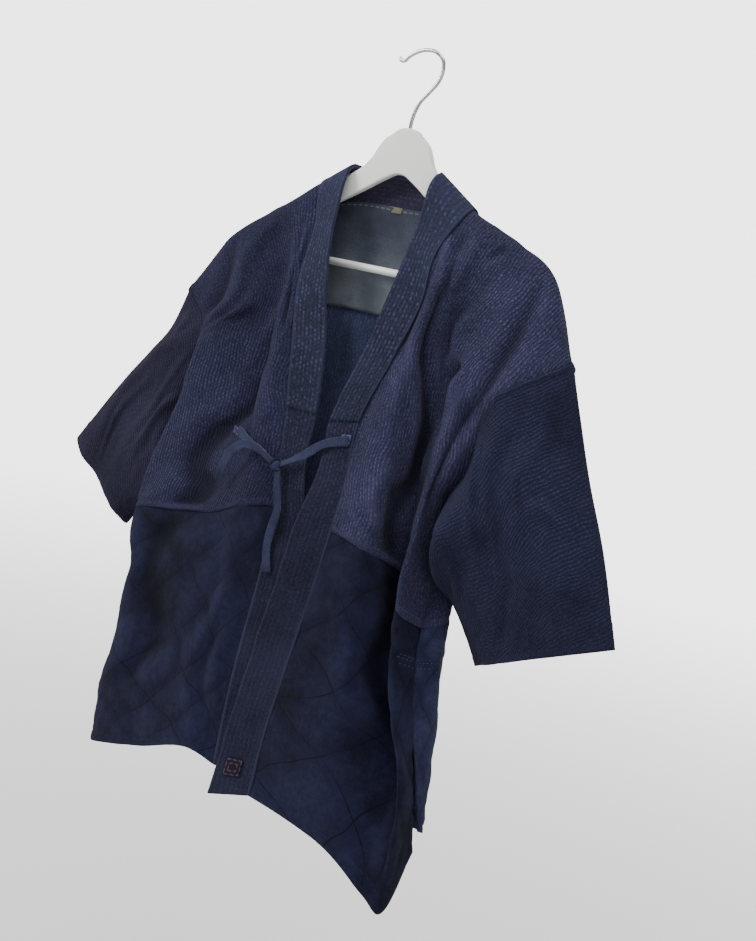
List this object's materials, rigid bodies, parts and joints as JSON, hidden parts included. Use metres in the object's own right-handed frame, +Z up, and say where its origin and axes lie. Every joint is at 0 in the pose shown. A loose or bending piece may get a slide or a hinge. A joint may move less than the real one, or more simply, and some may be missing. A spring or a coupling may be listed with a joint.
{
  "type": "kimono jacket on a hanger",
  "caption": "Quilted indigo cotton kimono jacket with half sleeves, collar band and a tied front, hanging on a flat plastic hanger with a wire hook.",
  "frame": {"origin": "under the crown of the hanger's hook, where a rail or peg carries it", "axes": "+Z up, +X towards the wearer's left, the front openings face -Y"},
  "size_m": [0.7941, 0.1367, 0.9416],
  "materials": {
    "upper_cotton": "thick rice-stitched indigo cotton, matte, worn pale on the stitches",
    "skirt_cotton": "two layers of navy cotton with diamond quilting lines, matte",
    "band_cotton": "folded navy cotton with close lengthwise stitching, matte",
    "lining_cotton": "plain blue-grey cotton, matte",
    "tie_cotton": "flat woven cotton tape, washed blue-grey, matte",
    "label_cloth": "plain cream woven label, bare",
    "patch_cloth": null,
    "hanger_plastic": "white moulded plastic, satin",
    "chrome_wire": "bright plated steel wire"
  },
  "bodies": {
    "root": {"body_left": "upper_cotton", "body_right": "upper_cotton", "sleeve_left": "upper_cotton", "sleeve_right": "upper_cotton", "skirt_front_left": "skirt_cotton", "skirt_front_right": "skirt_cotton", "skirt_back_left": "skirt_cotton", "skirt_back_right": "skirt_cotton", "collar_band": "band_cotton", "over_collar": "band_cotton", "yoke_lining": "lining_cotton", "neck_label": "label_cloth", "tie_patch_left": "tie_cotton", "tie_patch_right": "tie_cotton", "tie_right_held": "tie_cotton", "tie_right_end": "tie_cotton", "tie_left_held": "tie_cotton", "tie_left_end": "tie_cotton", "tie_knot": "tie_cotton", "band_patch": "patch_cloth", "hanger_plate": "hanger_plastic", "trouser_bar": "hanger_plastic", "hanger_hook": "chrome_wire"}
  },
  "joints": []
}
